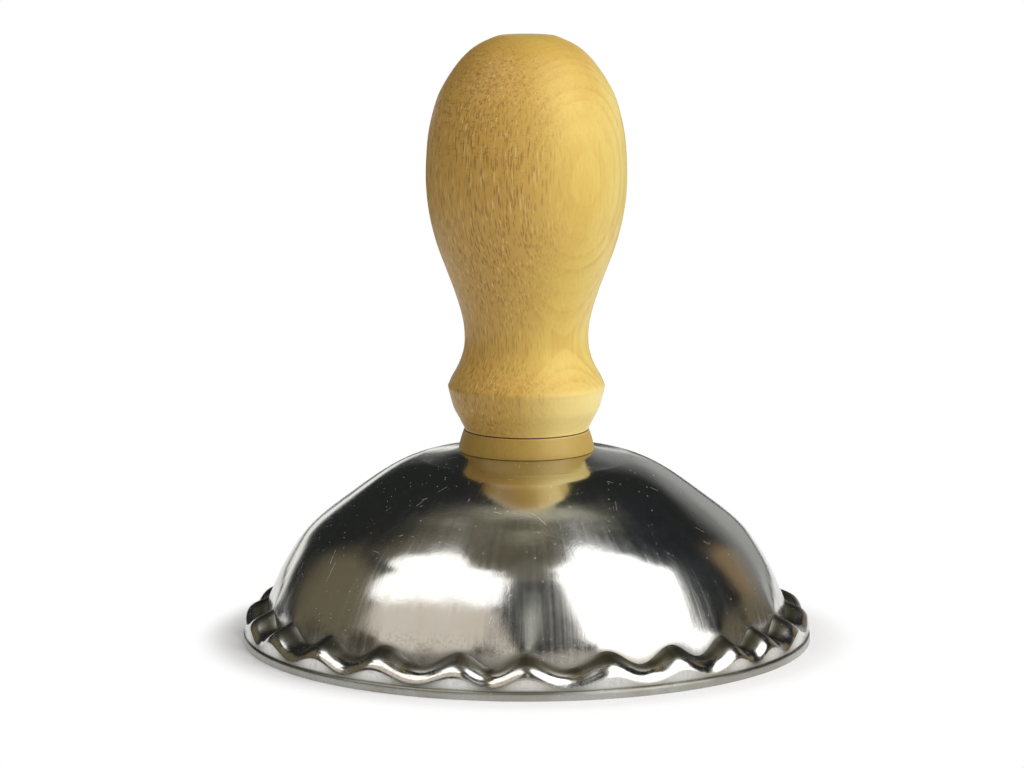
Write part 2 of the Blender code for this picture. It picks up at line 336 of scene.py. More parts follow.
@cache
def figure_group() -> Tree:
    """Figure of a beech log: growth rings, short dashes along the grain and flecks of the rays.

    Returns:
        The group, with a mask for each of them and the place across the log.
    """
    inputs = {"Vector": VECTOR, "To Bark": VECTOR, "Across": VECTOR, "Pith Distance": 0.075,
              "Ring Spacing": 0.00115, "Dash Width": 0.0003, "Dash Length": 0.003}
    outputs = ("Rings", "Dashes", "Pale Dashes", "Rays", "Fibre", "Side", "Cloud")
    work, given = new_group("beech_figure", inputs, outputs)
    calc, times, ramp, noise, vector = work.calc, work.times, work.ramp, work.noise, work.vector
    slow = vector("MULTIPLY", given["Vector"], (1.0, 1.0, 0.35))
    sway = work.add("TexNoise", {"Vector": slow, "Scale": 55.0, "Detail": 1.0}).outputs["Color"]
    shift = vector("MULTIPLY", vector("SUBTRACT", sway, (0.5, 0.5, 0.5)), (0.0022, 0.0022, 0.0))
    place = vector("ADD", given["Vector"], shift)
    depth, side = (vector("DOT_PRODUCT", place, given[name]) for name in ("To Bark", "Across"))
    height = work.split(place)[2]
    from_pith = calc("ADD", depth, given["Pith Distance"])
    reach = calc("SQRT", calc("ADD", times(from_pith, from_pith), times(side, side)))
    uneven = noise(work.join(reach, 0.0, 0.0), 330.0, 1.0)
    count = calc("ADD", calc("DIVIDE", reach, given["Ring Spacing"]), times(uneven, 1.4))
    year = calc("FRACT", count)
    tone = work.add("TexWhiteNoise", {"W": calc("FLOOR", count)}, noise_dimensions="1D").outputs[0]
    late = times(ramp(year, 0.35, 0.93), ramp(year, 0.94, 1.0, 1.0, 0.0))
    drawn = vector("MULTIPLY", given["Vector"], (1.0, 1.0, 0.06))
    broken = ramp(noise(drawn, 620.0, 3.0, 0.6), 0.36, 0.6, 0.1, 1.0)

    def marks(wide: float, long: float, offset: float, size: float, share: float) -> Socket:
        """Lens-shaped spots drawn out along the log, at most one to a cell.

        Args:
            wide: Width of a cell across the rings, in dash widths.
            long: Height of a cell, in dash lengths.
            offset: Sets one layer apart from another.
            size: Half the size of a spot, as a share of its cell.
            share: Share of the cells that have a spot.

        Returns:
            The mask.
        """
        cell = work.join(
            calc("ADD", calc("DIVIDE", depth, times(given["Dash Width"], wide)), offset),
            calc("DIVIDE", side, times(given["Dash Width"], 2.0)),
            calc("DIVIDE", height, times(given["Dash Length"], long)),
        )
        cells = work.add("TexVoronoi", {"Vector": cell, "Scale": 1.0}).outputs
        chosen, faded, _ = work.split(cells["Color"])
        kept = times(calc("LESS_THAN", chosen, share), ramp(faded, 0.0, 1.0, 0.5, 1.0))
        return times(ramp(cells["Distance"], size * 0.45, size, 1.0, 0.0), kept)

    return work.close({
        "Rings": times(late, broken, calc("MULTIPLY_ADD", tone, 0.75, 0.25)),
        "Dashes": work.most(marks(1.2, 1.45, 0.0, 0.44, 0.9), marks(1.0, 0.8, 7.7, 0.42, 0.9)),
        "Pale Dashes": marks(1.3, 1.5, 17.3, 0.42, 0.7),
        "Rays": marks(9.0, 0.14, 41.9, 0.42, 0.8),
        "Fibre": noise(drawn, 2600.0, 3.0, 0.65),
        "Side": side,
        "Cloud": noise(slow, 160.0, 3.0, 0.55),
    })


class Finish:
    """A Principled material with its group calls; each finish adds what makes it its own."""

    def __init__(self, name: str) -> None:
        """Makes the material with a Principled shader alone.

        Args:
            name: The material's name.
        """
        self.material, self.work = new_material(name)
        self.shader = self.work.add("BsdfPrincipled")
        self.work.add("OutputMaterial", {"Surface": self.shader.outputs[0]})
        self.place = self.work.add("TexCoord").outputs["Object"]

    def call(self, group: Tree, **values: Any) -> Any:
        """Places a shared effect in this material, at the surface's own place.

        Args:
            group: The effect.
            **values: Its inputs, with underscores for the spaces of their names.

        Returns:
            The group's outputs, by name.
        """
        node = self.work.add("Group", node_tree=group)
        for name, value in {"Vector": self.place, **values}.items():
            self.work.feed(node.inputs[name.replace("_", " ")], value)
        return node.outputs

    def set(self, **values: Any) -> Material:
        """Sets the Principled shader's sockets, with underscores for the spaces of their names.

        Args:
            **values: Values or sockets.

        Returns:
            The finished material.
        """
        for name, value in values.items():
            self.work.feed(self.shader.inputs[name.replace("_", " ")], value)
        return self.material

    def bump(self, height: Any, distance: float, normal: Any = None) -> Socket:
        """Turns a height that varies over the surface into a normal, on top of another one."""
        return self.work.add("Bump", {"Height": height, "Distance": distance, "Normal": normal}).outputs[0]


@dataclass(frozen=True)
class PolishedSteel:
    """Thin pressed steel, polished, with streaks, hairlines and dust, and a painted olive-brown shade in its
    creases, troughs and lip.
    """

    colour: Colour = (0.62, 0.62, 0.6)
    tint: Colour = (0.56, 0.53, 0.48)
    # Colour of the painted shade in the creases, troughs and lip, and of the dark speckles.
    soil: Colour = (0.085, 0.08, 0.052)
    dust: Colour = (0.58, 0.58, 0.56)
    roughness: float = 0.125
    worn_roughness: float = 0.22
    worn_heights: Pair = (0.028, 0.006)
    speckled_heights: Pair = (0.0105, 0.0075)
    dent_depth: float = 0.0003
    mottle_depth: float = 0.000006
    grain_depth: float = 0.0000035
    streak_depth: float = 0.000008
    scratch_depth: float = 0.000012

    def build(self) -> Material:
        """Makes the material.

        Returns:
            The material.
        """
        finish = Finish("polished_steel")
        work, place = finish.work, finish.place
        calc, times, ramp = work.calc, work.times, work.ramp
        around = finish.call(round_group(), Streaks_Around=34.0, Streaks_Up=26.0)
        cuts = finish.call(hairline_group(), Patches=46.0, Share=0.06, Width=0.00006, Length=0.006, Bend=4.0)
        nicks = finish.call(hairline_group(), Patches=260.0, Share=0.07, Width=0.00004, Length=0.001)
        dust = finish.call(speck_group(), Specks=1500.0, Share=0.22, Size=0.11)["Mask"]
        lines = work.most(cuts["Mask"], nicks["Mask"])
        cloud = work.noise(place, 65.0, 4.0, 0.6)
        mottle = work.noise(place, 900.0, 2.0, 0.6)
        speckle = ramp(work.noise(place, 1500.0, 3.0, 0.6), 0.44, 0.62)
        low = ramp(around["Height"], *self.worn_heights)
        # Painted shade: the stored share darkens the crease at the dome's foot, the flange's troughs and the
        # lip, standing in for shade and dark reflections there.
        shade_share = work.add("Attribute", attribute_name="soil").outputs["Fac"]
        painted_shade = times(shade_share, ramp(cloud, 0.35, 0.65, 0.88, 1.0))
        # Dark speckles low on the dome take the same colour.
        speckled = times(ramp(around["Height"], *self.speckled_heights), speckle, 0.2)
        colour = work.blend(times(ramp(cloud, 0.42, 0.68), low, 0.7), self.colour, self.tint)
        colour = work.blend(work.most(painted_shade, speckled), colour, self.soil)
        worn = times(ramp(around["Streak"], 0.35, 0.75), ramp(low, 0.0, 1.0, 0.35, 1.0))
        worn = calc("MULTIPLY_ADD", calc("SUBTRACT", mottle, 0.5), 0.5, worn)
        rough = ramp(worn, 0.0, 1.0, self.roughness, self.worn_roughness, Fade.STRAIGHT)
        rough = calc("ADD", rough, calc("ADD", times(lines, 0.16), times(painted_shade, 0.25)))
        normal = None
        for height, depth in (
            (work.noise(place, 75.0, 1.0), self.dent_depth), (mottle, self.mottle_depth),
            (work.noise(place, 3000.0, 2.0, 0.6), self.grain_depth), (around["Streak"], self.streak_depth),
            (times(lines, -1.0), self.scratch_depth),
        ):
            normal = finish.bump(height, depth, normal)
        return finish.set(
            Base_Color=work.blend(dust, colour, self.dust), Roughness=work.most(rough, times(dust, 0.9)),
            Metallic=ramp(dust, 0.0, 1.0, 1.0, 0.15, Fade.STRAIGHT), Normal=normal,
        )


@dataclass(frozen=True)
class OiledBeech:
    """Turned beech, sanded and lightly oiled, with light and shade partly painted into its colour.

    Sides are places across the log, and heights are above the floor, each from end to end of a fade.
    """

    # The base pale yellow is the lit right side: partly the wood's tone, partly painted light and sheen.
    lit_side_yellow: Colour = linear(228, 208, 126)
    golden: Colour = linear(220, 189, 88)
    deep: Colour = linear(206, 161, 72)
    brown: Colour = linear(128, 88, 34)
    orange: Colour = linear(196, 148, 60)
    straw: Colour = linear(250, 230, 152)
    # Painted shade on the foot.
    shaded_ochre: Colour = linear(162, 130, 48)
    # Painted shade in the groove.
    groove_shade: Colour = linear(90, 62, 28)
    to_bark: Point = (0.56, -0.83, 0.0)
    across: Point = (0.83, 0.56, 0.0)
    # Sides of the step from painted light on the right to painted shade on the left.
    half_lit_side: Pair = (0.013, -0.001)
    shaded_side: Pair = (0.001, -0.014)
    dashed_side: Pair = (0.0, -0.015)
    # Where painted bounce light falls on the lower right.
    pale_side: Pair = (-0.011, 0.002)
    fleck_heights: Pair = (0.078, 0.092)
    bounce_lit_heights: Pair = (0.046, 0.044)
    # Painted shade on the foot under the collar.
    shaded_foot_heights: Pair = (0.0371, 0.0369)
    # Band of painted shade in the groove.
    groove: Point = (0.03708, 0.03728, 0.00006)
    dash_depth: float = 0.00005
    roughness: float = 0.5

    def build(self) -> Material:
        """Makes the material.

        Returns:
            The material.
        """
        finish = Finish("oiled_beech")
        work = finish.work
        times, ramp = work.times, work.ramp
        out = finish.call(figure_group(), To_Bark=self.to_bark, Across=self.across)
        side, cloud, fibre = out["Side"], out["Cloud"], out["Fibre"]
        strength = times(ramp(side, *self.dashed_side, 0.1, 1.0), ramp(cloud, 0.3, 0.6, 0.7, 1.0))
        dashes = times(out["Dashes"], strength)
        height = work.split(finish.place)[2]
        upward = work.split(work.add("NewGeometry").outputs["Normal"])[2]
        end_grain = work.band(work.calc("ABSOLUTE", upward), 0.55, 0.97, 0.18)
        # Across the log the colour goes from pale yellow on the right through golden to deep on the left:
        # partly the wood's own tone, partly painted light and sheen on the right and painted shade on the
        # left.
        colour: Any = self.lit_side_yellow
        for share, tone in (
            (ramp(side, *self.half_lit_side), self.golden),
            (ramp(side, *self.shaded_side), self.deep),
            (ramp(cloud, 0.4, 0.75, 0.0, 0.55), self.deep),
            (times(end_grain, 0.35), self.orange),
            (times(out["Rings"], ramp(end_grain, 0.0, 1.0, 0.45, 0.7, Fade.STRAIGHT)), self.orange),
            (times(ramp(fibre, 0.35, 0.75), 0.3), self.deep),
            (times(out["Pale Dashes"], strength, 0.45), self.straw),
            (times(out["Rays"], strength, ramp(height, *self.fleck_heights, 0.06, 0.6)), self.brown),
            (times(dashes, 0.7), self.brown),
            # Painted light: the part below the ridge is lightened towards straw on its right side, where
            # light thrown up from the floor and the steel falls.
            (times(ramp(height, *self.bounce_lit_heights, 0.0, 0.62), ramp(side, *self.pale_side)), self.straw),
            # Painted shade: the foot under the collar's overhang is darkened to a deep ochre.
            (ramp(height, *self.shaded_foot_heights, 0.0, 0.85), self.shaded_ochre),
            # Painted shade: the groove is darkened to a deep brown.
            (work.band(height, *self.groove), self.groove_shade),
        ):
            colour = work.blend(share, colour, tone)
        return finish.set(
            Base_Color=colour,
            Roughness=ramp(fibre, 0.2, 0.8, self.roughness - 0.06, self.roughness + 0.1, Fade.STRAIGHT),
            Normal=finish.bump(work.calc("SUBTRACT", times(fibre, 0.5), dashes), self.dash_depth),
            Coat_Weight=0.25, Coat_Roughness=0.3, Specular_IOR_Level=0.45,
        )


@dataclass(frozen=True)
class ZincPlate:
    """Zinc plating on a fastener, dulled in clouds and rubbed bright by handling."""

    name: str
    colour: Colour
    dull: Colour
    roughness: float = 0.26
    cloud_depth: float = 0.00003
    ring_depth: float = 0.00001

    def build(self) -> Material:
        """Makes the material.

        Returns:
            The material.
        """
        finish = Finish(self.name)
        work = finish.work
        cloud = work.noise(finish.place, 620.0, 4.0, 0.65)
        lines = finish.call(hairline_group(), Patches=420.0, Share=0.4, Width=0.00003, Length=0.0012)
        around = finish.call(round_group(), Streaks_Around=9.0, Streaks_Up=90.0)
        rough = work.ramp(cloud, 0.3, 0.7, self.roughness, self.roughness + 0.22, Fade.STRAIGHT)
        return finish.set(
            Base_Color=work.blend(work.ramp(cloud, 0.38, 0.66), self.colour, self.dull), Metallic=1.0,
            Roughness=work.calc("MULTIPLY_ADD", lines["Mask"], 0.15, rough),
            Normal=finish.bump(around["Ring"], self.ring_depth, finish.bump(cloud, self.cloud_depth)),
        )


def new_object(name: str, data: bpy.types.ID) -> Item:
    """Puts a mesh, lamp or camera in the scene.

    Args:
        name: The object's name.
        data: What it shows.

    Returns:
        The object.
    """
    item = bpy.data.objects.new(name, data)
    bpy.context.scene.collection.objects.link(item)
    return item


def bake(item: Item) -> None:
    """Turns an object with modifiers into one plain mesh.

    Args:
        item: The object, which keeps its name and loses its modifiers.
    """
    bpy.context.view_layer.update()
    graph = bpy.context.evaluated_depsgraph_get()
    mesh = bpy.data.meshes.new_from_object(item.evaluated_get(graph), depsgraph=graph)
    item.modifiers.clear()
    item.data = mesh
    mesh.name = item.name


def report(item: Item) -> None:
    """Logs the size of a piece and the number of its faces.

    Args:
        item: The piece.
    """
    mesh = item.data
    mesh.calc_loop_triangles()
    spans = (max(places) - min(places) for places in zip(*(corner.co for corner in mesh.vertices)))
    sizes = " x ".join(f"{span / MILLIMETRE:.1f}" for span in spans)
    LOG.info("%s: %s mm, %d triangles", item.name, sizes, len(mesh.loop_triangles))


def settle(item: Item, node: str) -> None:
    """Shades a finished piece, ties it to the frame and logs its size.

    Args:
        item: The piece.
        node: The node that it stands for.
    """
    item.data.shade_smooth()
    item.data.set_sharp_from_angle(angle=SHARP_ANGLE)
    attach(item, BODY)
    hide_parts(node)
    report(item)


class FormTree:
    """A geometry node tree that turns an outline about the Z axis, plain or with crimps."""

    def __init__(self, name: str, count: int = 0, crest_turns: Sequence[float] = ()) -> None:
        """Builds the tree. Its input mesh holds the outline's corners in order.

        Args:
            name: The tree's name.
            count: Number of crimps all round, or 0 for a plain form.
            crest_turns: Degrees of the crests in view, from left to right, about the middle one.
        """
        inputs = {"Outline": GEOMETRY, "Turn Steps": 96, "Outline Points": 10, "Finish": MATERIAL}
        if count:
            inputs |= {"Foot Radius": 0.045, "Rim Radius": 0.05, "Foot Fullness": 1.0, "Rim Fullness": 1.1,
                       "Height Drift": 0.1}
        work, given = new_group(name, inputs, ["Form"], GEOMETRY, "GeometryNodeTree")
        self.work, self.given = work, given
        self.count, self.crest_turns = count, crest_turns
        calc = work.calc
        steps, points = given["Turn Steps"], given["Outline Points"]
        grid = work.add("GeometryNodeMeshGrid", {"Vertices X": calc("ADD", steps, 1), "Vertices Y": points})
        index = work.add("GeometryNodeInputIndex").outputs[0]
        column = calc("FLOOR", calc("DIVIDE", calc("ADD", index, 0.5), points))
        row = calc("SUBTRACT", index, work.times(column, points))
        turn = calc("DIVIDE", column, steps)
        angle = work.times(calc("SUBTRACT", turn, 0.5), math.tau)
        sine, cosine = calc("SINE", angle), calc("COSINE", angle)

        def sample(value: Any, kind: str) -> Socket:
            """Value of the outline's corner in this row."""
            read = {"Geometry": given["Outline"], "Value": value, "Index": row}
            return work.add("GeometryNodeSampleIndex", read, data_type=kind, domain="POINT").outputs[0]

        def named(name: str, kind: str) -> Socket:
            """Value of one of the outline's named attributes in this row."""
            values = work.add("GeometryNodeInputNamedAttribute", {"Name": name}, data_type=kind)
            return sample(values.outputs["Attribute"], kind)

        position = work.add("GeometryNodeInputPosition").outputs[0]
        radius, _, height = work.split(sample(position, "FLOAT_VECTOR"))
        soil = None
        if count:
            share = self.crest_share(turn, (sine, cosine), radius)
            # Painted shade for the steel rides on the outline: one share for the trough and one for the crest
            # of each row.
            crest_radius, crest_shade, crest_height = work.split(named("crest", "FLOAT_VECTOR"))
            radius = calc("MULTIPLY_ADD", calc("SUBTRACT", crest_radius, radius), share, radius)
            height = calc("MULTIPLY_ADD", calc("SUBTRACT", crest_height, height), share, height)
            soil = work.ramp(share, 0.0, 1.0, named("soil", "FLOAT"), crest_shade, Fade.STRAIGHT)
        place = work.join(work.times(radius, sine), work.times(radius, cosine, -1.0), height)
        chain = [("SetPosition", {"Position": place}, {})]
        if count:
            chain.append(("StoreNamedAttribute", {"Name": "soil", "Value": soil}, {"data_type": "FLOAT"}))
        chain += [("MergeByDistance", {"Distance": MERGE_DISTANCE}, {}), ("SetShadeSmooth", {}, {}),
                  ("RealizeInstances", {}, {}), ("SetMaterial", {"Material": given["Finish"]}, {})]
        form = grid.outputs["Mesh"]
        for kind, fed, settings in chain:
            form = work.add(f"GeometryNode{kind}", {"Geometry": form, **fed}, **settings).outputs[0]
        self.tree = work.close({"Form": form})

    def crest_share(self, turn: Any, facing: tuple[Any, Any], radius: Any) -> Socket:
        """How far a place on the ring is from trough to crest.

        Args:
            turn: Share of a whole turn, from the back by the left.
            facing: Sine and cosine of the turn from the front.
            radius: Distance from the axis.

        Returns:
            The socket with 0 in a trough and 1 on a crest.
        """
        work, given, turns = self.work, self.given, self.crest_turns
        span = self.count + 1
        middle = len(turns) // 2
        pitch = (360 - turns[-1] + turns[0]) / (self.count - len(turns) + 1)
        start = (-middle - (turns[0] + 180) / pitch + span / 2) / span
        curve = work.add("FloatCurve", {"Value": turn})
        points = curve.mapping.curves[0].points
        points[0].location = (0.0, start)
        points[1].location = (1.0, start + self.count / span)
        for number, place in enumerate(turns):
            points.new(place / 360 + 0.5, (number - middle + span / 2) / span)
        curve.mapping.update()
        number = work.times(curve.outputs[0], float(span))
        phase = work.times(work.calc("SUBTRACT", number, span / 2), math.tau)
        wave = work.calc("MULTIPLY_ADD", work.calc("COSINE", phase), 0.5, 0.5)
        fullness = work.ramp(radius, given["Foot Radius"], given["Rim Radius"], given["Foot Fullness"],
                             given["Rim Fullness"], Fade.STRAIGHT)
        uneven = work.noise(work.join(*facing, 9.1), 3.3, 1.0)
        drift = work.calc("MULTIPLY_ADD", work.calc("SUBTRACT", uneven, 0.5), given["Height Drift"], 1.0)
        return work.times(work.calc("POWER", wave, fullness), drift)

    def turn(self, name: str, rows: Sequence[Point], **values: Any) -> Item:
        """Turns an outline into one closed skin whose faces point away from the axis.

        Args:
            name: The new piece's name.
            rows: Distance from the axis and height of each corner. With crimps, the same two of its
            crest follow, and how much painted shade trough and crest carry.
            **values: The tree's inputs, with underscores for the spaces of their names.

        Returns:
            The piece.
        """
        mesh = bpy.data.meshes.new(name)
        mesh.from_pydata([(row[0], 0.0, row[1]) for row in rows], [], [])
        if self.count:
            crest = mesh.attributes.new("crest", "FLOAT_VECTOR", "POINT")
            crest.data.foreach_set("vector", [part for row in rows for part in (row[2], row[5], row[3])])
            soil = mesh.attributes.new("soil", "FLOAT", "POINT")
            soil.data.foreach_set("value", [row[4] for row in rows])
        item = new_object(name, mesh)
        values["Outline_Points"] = len(rows)
        modifier = item.modifiers.new(self.tree.name, "NODES")
        modifier.node_group = self.tree
        for socket in self.tree.interface.items_tree:
            label = socket.name.replace(" ", "_")
            if label in values:
                modifier[socket.identifier] = values[label]
        bake(item)
        skin = bmesh.new()
        skin.from_mesh(item.data)
        bmesh.ops.remove_doubles(skin, verts=skin.verts, dist=MERGE_DISTANCE)
        outward = sum(
            face.calc_area() * face.normal.dot(face.calc_center_median().normalized()) for face in skin.faces)
        if outward < 0:
            bmesh.ops.reverse_faces(skin, faces=skin.faces)
        skin.to_mesh(item.data)
        skin.free()
        return item


@dataclass
class CrimpedDome:
    """The pressed steel shell: flat crown, dome, crimped flange and plain cutting lip.

    A row of the flange's table holds the trough's radius and height and the crest's radius and
    height, each as a share of the flange's width and rise, and how much painted shade trough and crest carry.
    """

    name: str = "crimped_dome"
    rim_radius: float = 0.05
    sheet: float = 0.0006
    crown_height: float = 0.0335
    crown_radius: float = 0.0115
    hole_radius: float = 0.0023
    foot_radius: float = 0.0457
    flange_height: float = 0.0062
    lip_height: float = 0.0012
    # Painted shade on the lip.
    lip_soil: float = 0.58
    turn_steps: int = 432
    crimp_count: int = 24
    crest_turns: tuple[float, ...] = (-107, -91, -76, -62, -46, -31, -14, 0, 17, 32, 46, 57.5, 71, 87, 101)
    dome_shares: tuple[Point, ...] = (
        (0.0, 1.0), (0.026, 0.9956), (0.073, 0.982), (0.132, 0.968), (0.19, 0.955), (0.219, 0.948),
        (0.278, 0.924), (0.342, 0.888), (0.424, 0.828), (0.512, 0.751), (0.57, 0.6965), (0.629, 0.6415),
        (0.687, 0.586), (0.746, 0.5255), (0.804, 0.453), (0.863, 0.351), (0.921, 0.23),
    )
    # The last two columns of both tables are painted shade for trough and crest: full in the crease where the
    # dome meets the flange, again in the troughs low on the wall, and on the lip.
    dome_foot_shares: tuple[Point, ...] = (
        (-0.274, 1.55, -0.291, 1.63, 0.0, 0.0), (-0.105, 1.07, -0.14, 1.35, 0.0, 0.0),
        (0.012, 0.65, -0.058, 1.17, 0.75, 0.75),
    )
    flange_shares: tuple[Point, ...] = (
        (0.163, 0.59, 0.14, 1.07, 1.0, 1.0), (0.349, 0.55, 0.349, 0.99, 0.95, 1.0),
        (0.535, 0.51, 0.558, 0.9, 0.3, 0.95), (0.674, 0.46, 0.698, 0.82, 0.0, 0.35),
        (0.779, 0.39, 0.789, 0.75, 0.0, 0.0), (0.849, 0.32, 0.863, 0.67, 0.0, 0.0),
        (0.895, 0.25, 0.91, 0.59, 0.05, 0.0), (0.92, 0.2, 0.936, 0.51, 0.4, 0.0),
        (0.931, 0.17, 0.947, 0.42, 0.7, 0.0), (0.938, 0.14, 0.953, 0.31, 0.75, 0.0),
        (0.943, 0.11, 0.957, 0.2, 0.8, 0.1), (0.944, 0.09, 0.959, 0.13, 0.85, 0.35),
        (0.93, 0.06, 0.935, 0.07, 0.9, 0.9), (0.984, 0.024, 0.984, 0.024, 0.75, 0.75),
        (1.0, -0.024, 1.0, -0.024, 0.62, 0.62),
    )

    def stations(self) -> list[Point]:
        """Rows of the section: trough radius and height, crest radius and height, and the painted shade of
        both.

        Returns:
            The rows, from the screw hole out and down to the rim.
        """
        inner, foot, edge = self.crown_radius, self.foot_radius, self.rim_radius
        width, height = foot - inner, self.crown_height - self.flange_height
        reach, rise = edge - foot, self.flange_height - self.lip_height

        def plain(radius: float, level: float, soil: float = 0.0) -> Point:
            """A row that is the same in trough and crest."""
            return radius, level, radius, level, soil, soil

        def crimped(row: Point) -> Point:
            """A row of the flange's table, in metres."""
            places = (base + share * size for share, base, size in zip(
                row, (foot, self.lip_height) * 2, (reach, rise) * 2))
            return *places, *row[4:]

        dome = [plain(inner + r * width, self.flange_height + z * height) for r, z in self.dome_shares]
        dome = smooth_line([*dome, *map(crimped, self.dome_foot_shares)], 3)
        flange = smooth_line([crimped(row) for row in (self.dome_foot_shares[-1], *self.flange_shares)], 2)
        crown = [plain(self.hole_radius, self.crown_height), plain(inner / 2, self.crown_height)]
        lip = [plain(edge, self.lip_height * share, self.lip_soil) for share in (0.6, 0.3, 0.0)]
        rows = [*crown, *dome, *flange[1:], *lip]
        return [(min(a, edge), b, min(c, edge), d, *shades) for a, b, c, d, *shades in rows]

    def build(self, steel: Material) -> None:
        """Turns the section with its crimps and gives the sheet its thickness.

        Args:
            steel: The finish.
        """
        tree = FormTree("crimped_form", self.crimp_count, self.crest_turns)
        item = tree.turn(self.name, self.stations(), Turn_Steps=self.turn_steps, Finish=steel,
                         Foot_Radius=self.foot_radius, Rim_Radius=self.rim_radius)
        wall = item.modifiers.new("sheet", "SOLIDIFY")
        wall.thickness, wall.offset = self.sheet, -1
        wall.use_even_offset = wall.use_quality_normals = True
        bake(item)
        for corner in item.data.vertices:
            corner.co.z = max(corner.co.z, 0.0)
        settle(item, "cutter_shell")


@dataclass
class TurnedHandle:
    """The beech handle: bulb, waist, ridge, groove and foot, with the bore for its screw.

    The tables hold distances from the axis and heights above the crown that it stands on.
    """

    name: str = "turned_handle"
    base_height: float = 0.0335
    seat: float = 0.00003
    bore_radius: float = 0.0023
    bore_end: float = 0.0623
    foot: tuple[Point, ...] = (
        (0.01188, 0.00003), (0.0119, 0.0003), (0.01178, 0.001), (0.01145, 0.0022), (0.01108, 0.0033),
        (0.01098, 0.00356), (0.01072, 0.00364), (0.01072, 0.00374), (0.01091, 0.00384),
    )
    collar: tuple[Point, ...] = (
        (0.01093, 0.004), (0.01179, 0.0057), (0.01274, 0.0075), (0.01333, 0.0095), (0.0137, 0.011),
    )
    cove: tuple[Point, ...] = (
        (0.01375, 0.0114), (0.01305, 0.013), (0.01218, 0.0145), (0.01134, 0.0165), (0.01086, 0.0187),
        (0.01088, 0.0215), (0.01144, 0.0245), (0.0127, 0.0285), (0.0142, 0.0325), (0.01567, 0.0365),
        (0.0169, 0.0415), (0.01747, 0.0465), (0.01742, 0.0515), (0.0169, 0.0565), (0.0156, 0.0615),
        (0.01415, 0.0645), (0.01215, 0.0675), (0.01015, 0.0697), (0.0082, 0.0711), (0.0061, 0.0721),
    )
    top: tuple[Point, ...] = ((0.00545, 0.07235), (0.005, 0.07249), (0.0025, 0.07249), (0.0, 0.07249))
    turn_steps: int = 144
    curve_steps: int = 4

    def outline(self) -> list[Point]:
        """Outline from the middle of the top down the outer side, under the foot and up the bore.

        Returns:
            The outline's points.
        """
        collar, cove = (smooth_line(line, self.curve_steps) for line in (self.collar, self.cove))
        side = (*self.foot, *collar, *cove, *self.top)
        upward = [(radius, self.base_height + height) for radius, height in side]
        bore = [(self.bore_radius, self.base_height + self.seat),
                (self.bore_radius, self.bore_end - self.bore_radius / 2), (0.0, self.bore_end)]
        return [*reversed(upward), *bore]

    def build(self, beech: Material) -> None:
        """Turns the handle.

        Args:
            beech: The finish.
        """
        tree = FormTree("turned_form")
        item = tree.turn(self.name, self.outline(), Turn_Steps=self.turn_steps, Finish=beech)
        settle(item, "handle")


@dataclass
class Fixing:
    """The screw and the washer inside the dome, which keep their own meshes."""

    finishes: tuple[tuple[str, ZincPlate], ...] = (
        ("handle_screw", ZincPlate("zinc_screw", (0.66, 0.62, 0.5), (0.42, 0.38, 0.29))),
        ("screw_washer", ZincPlate("zinc_washer", (0.63, 0.64, 0.65), (0.4, 0.41, 0.43), 0.32)),
    )

    def dress(self, nodes: Mapping[str, Item]) -> None:
        """Gives both nodes their finishes.

        Args:
            nodes: The frame's nodes, by name.
        """
        for name, plate in self.finishes:
            material = plate.build()
            for slot in nodes[name].material_slots:
                slot.material = material
            report(nodes[name])


@dataclass(frozen=True)
class Glow:
    """A lit or coloured patch of the studio that the steel mirrors.

    Turn is measured from the camera's side to the right and rise from the horizon up, in degrees, or
    overhead from straight up to the right and to the camera. Lean moves the patch sideways as it rises,
    and bend lowers it away from the middle.
    """

    turn: Pair
    rise: Pair
    light: Colour
    soft: float = 0.12
    square: float = 4.0
    lean: float = 0.0
    bend: float = 0.0
    overhead: bool = False

    def mask(self, work: NodeWork, across: Any, up: Any) -> Socket:
        """Where the patch lies, as a rounded box with soft edges.

        Args:
            work: Builder of the room's material.
            across: Socket with the turn in degrees.
            up: Socket with the rise in degrees.

        Returns:
            The socket with the mask.
        """
        calc = work.calc
        up = calc("MULTIPLY_ADD", work.times(across, across), self.bend, up)
        up = calc("SUBTRACT", up, sum(self.rise) / 2)
        across = calc("WRAP", calc("SUBTRACT", across, sum(self.turn) / 2), 180.0, -180.0)
        across = calc("MULTIPLY_ADD", up, -self.lean, across)
        powers = [calc("POWER", calc("ABSOLUTE", calc("DIVIDE", part, (end - start) / 2)), self.square)
                  for part, (start, end) in ((across, self.turn), (up, self.rise))]
        away = calc("POWER", calc("ADD", *powers), 1 / self.square)
        return work.ramp(away, 1 - self.soft, 1 + self.soft, 1.0, 0.0)


@dataclass(frozen=True)
class Lamp:
    """A soft rectangular lamp that lights matt surfaces; reflections see the room's panels instead.

    Turn and rise are as for a glow, and radiance is the brightness of its face, where 1 is white.
    """

    name: str
    turn: float
    rise: float
    size: Pair
    radiance: float
    colour: Colour = WHITE
    distance: float = 1.6
    aim_height: float = 0.05

    def build(self) -> None:
        """Makes the lamp."""
        data = bpy.data.lights.new(self.name, "AREA")
        data.shape = "RECTANGLE"
        data.size, data.size_y = self.size
        data.color = self.colour
        data.energy = self.radiance * math.pi * self.size[0] * self.size[1]
        lamp = new_object(self.name, data)
        azimuth, height = math.radians(self.turn), math.radians(self.rise)
        level = math.cos(height)
        toward = Vector((math.sin(azimuth) * level, -math.cos(azimuth) * level, math.sin(height)))
        lamp.location = Vector((0.0, 0.0, self.aim_height)) + toward * self.distance
        lamp.rotation_euler = toward.to_track_quat("Z", "Y").to_euler()
        lamp.visible_glossy = lamp.visible_camera = False


def new_surround(form: bmesh.types.BMesh, name: str, material: Material) -> Item:
    """Puts a part of the studio in the scene.

    Args:
        form: Its shape, which is freed.
        name: Its name.
        material: Its material.

    Returns:
        The object.
    """
    mesh = bpy.data.meshes.new(name)
    form.to_mesh(mesh)
    form.free()
    mesh.materials.append(material)
    return new_object(name, mesh)


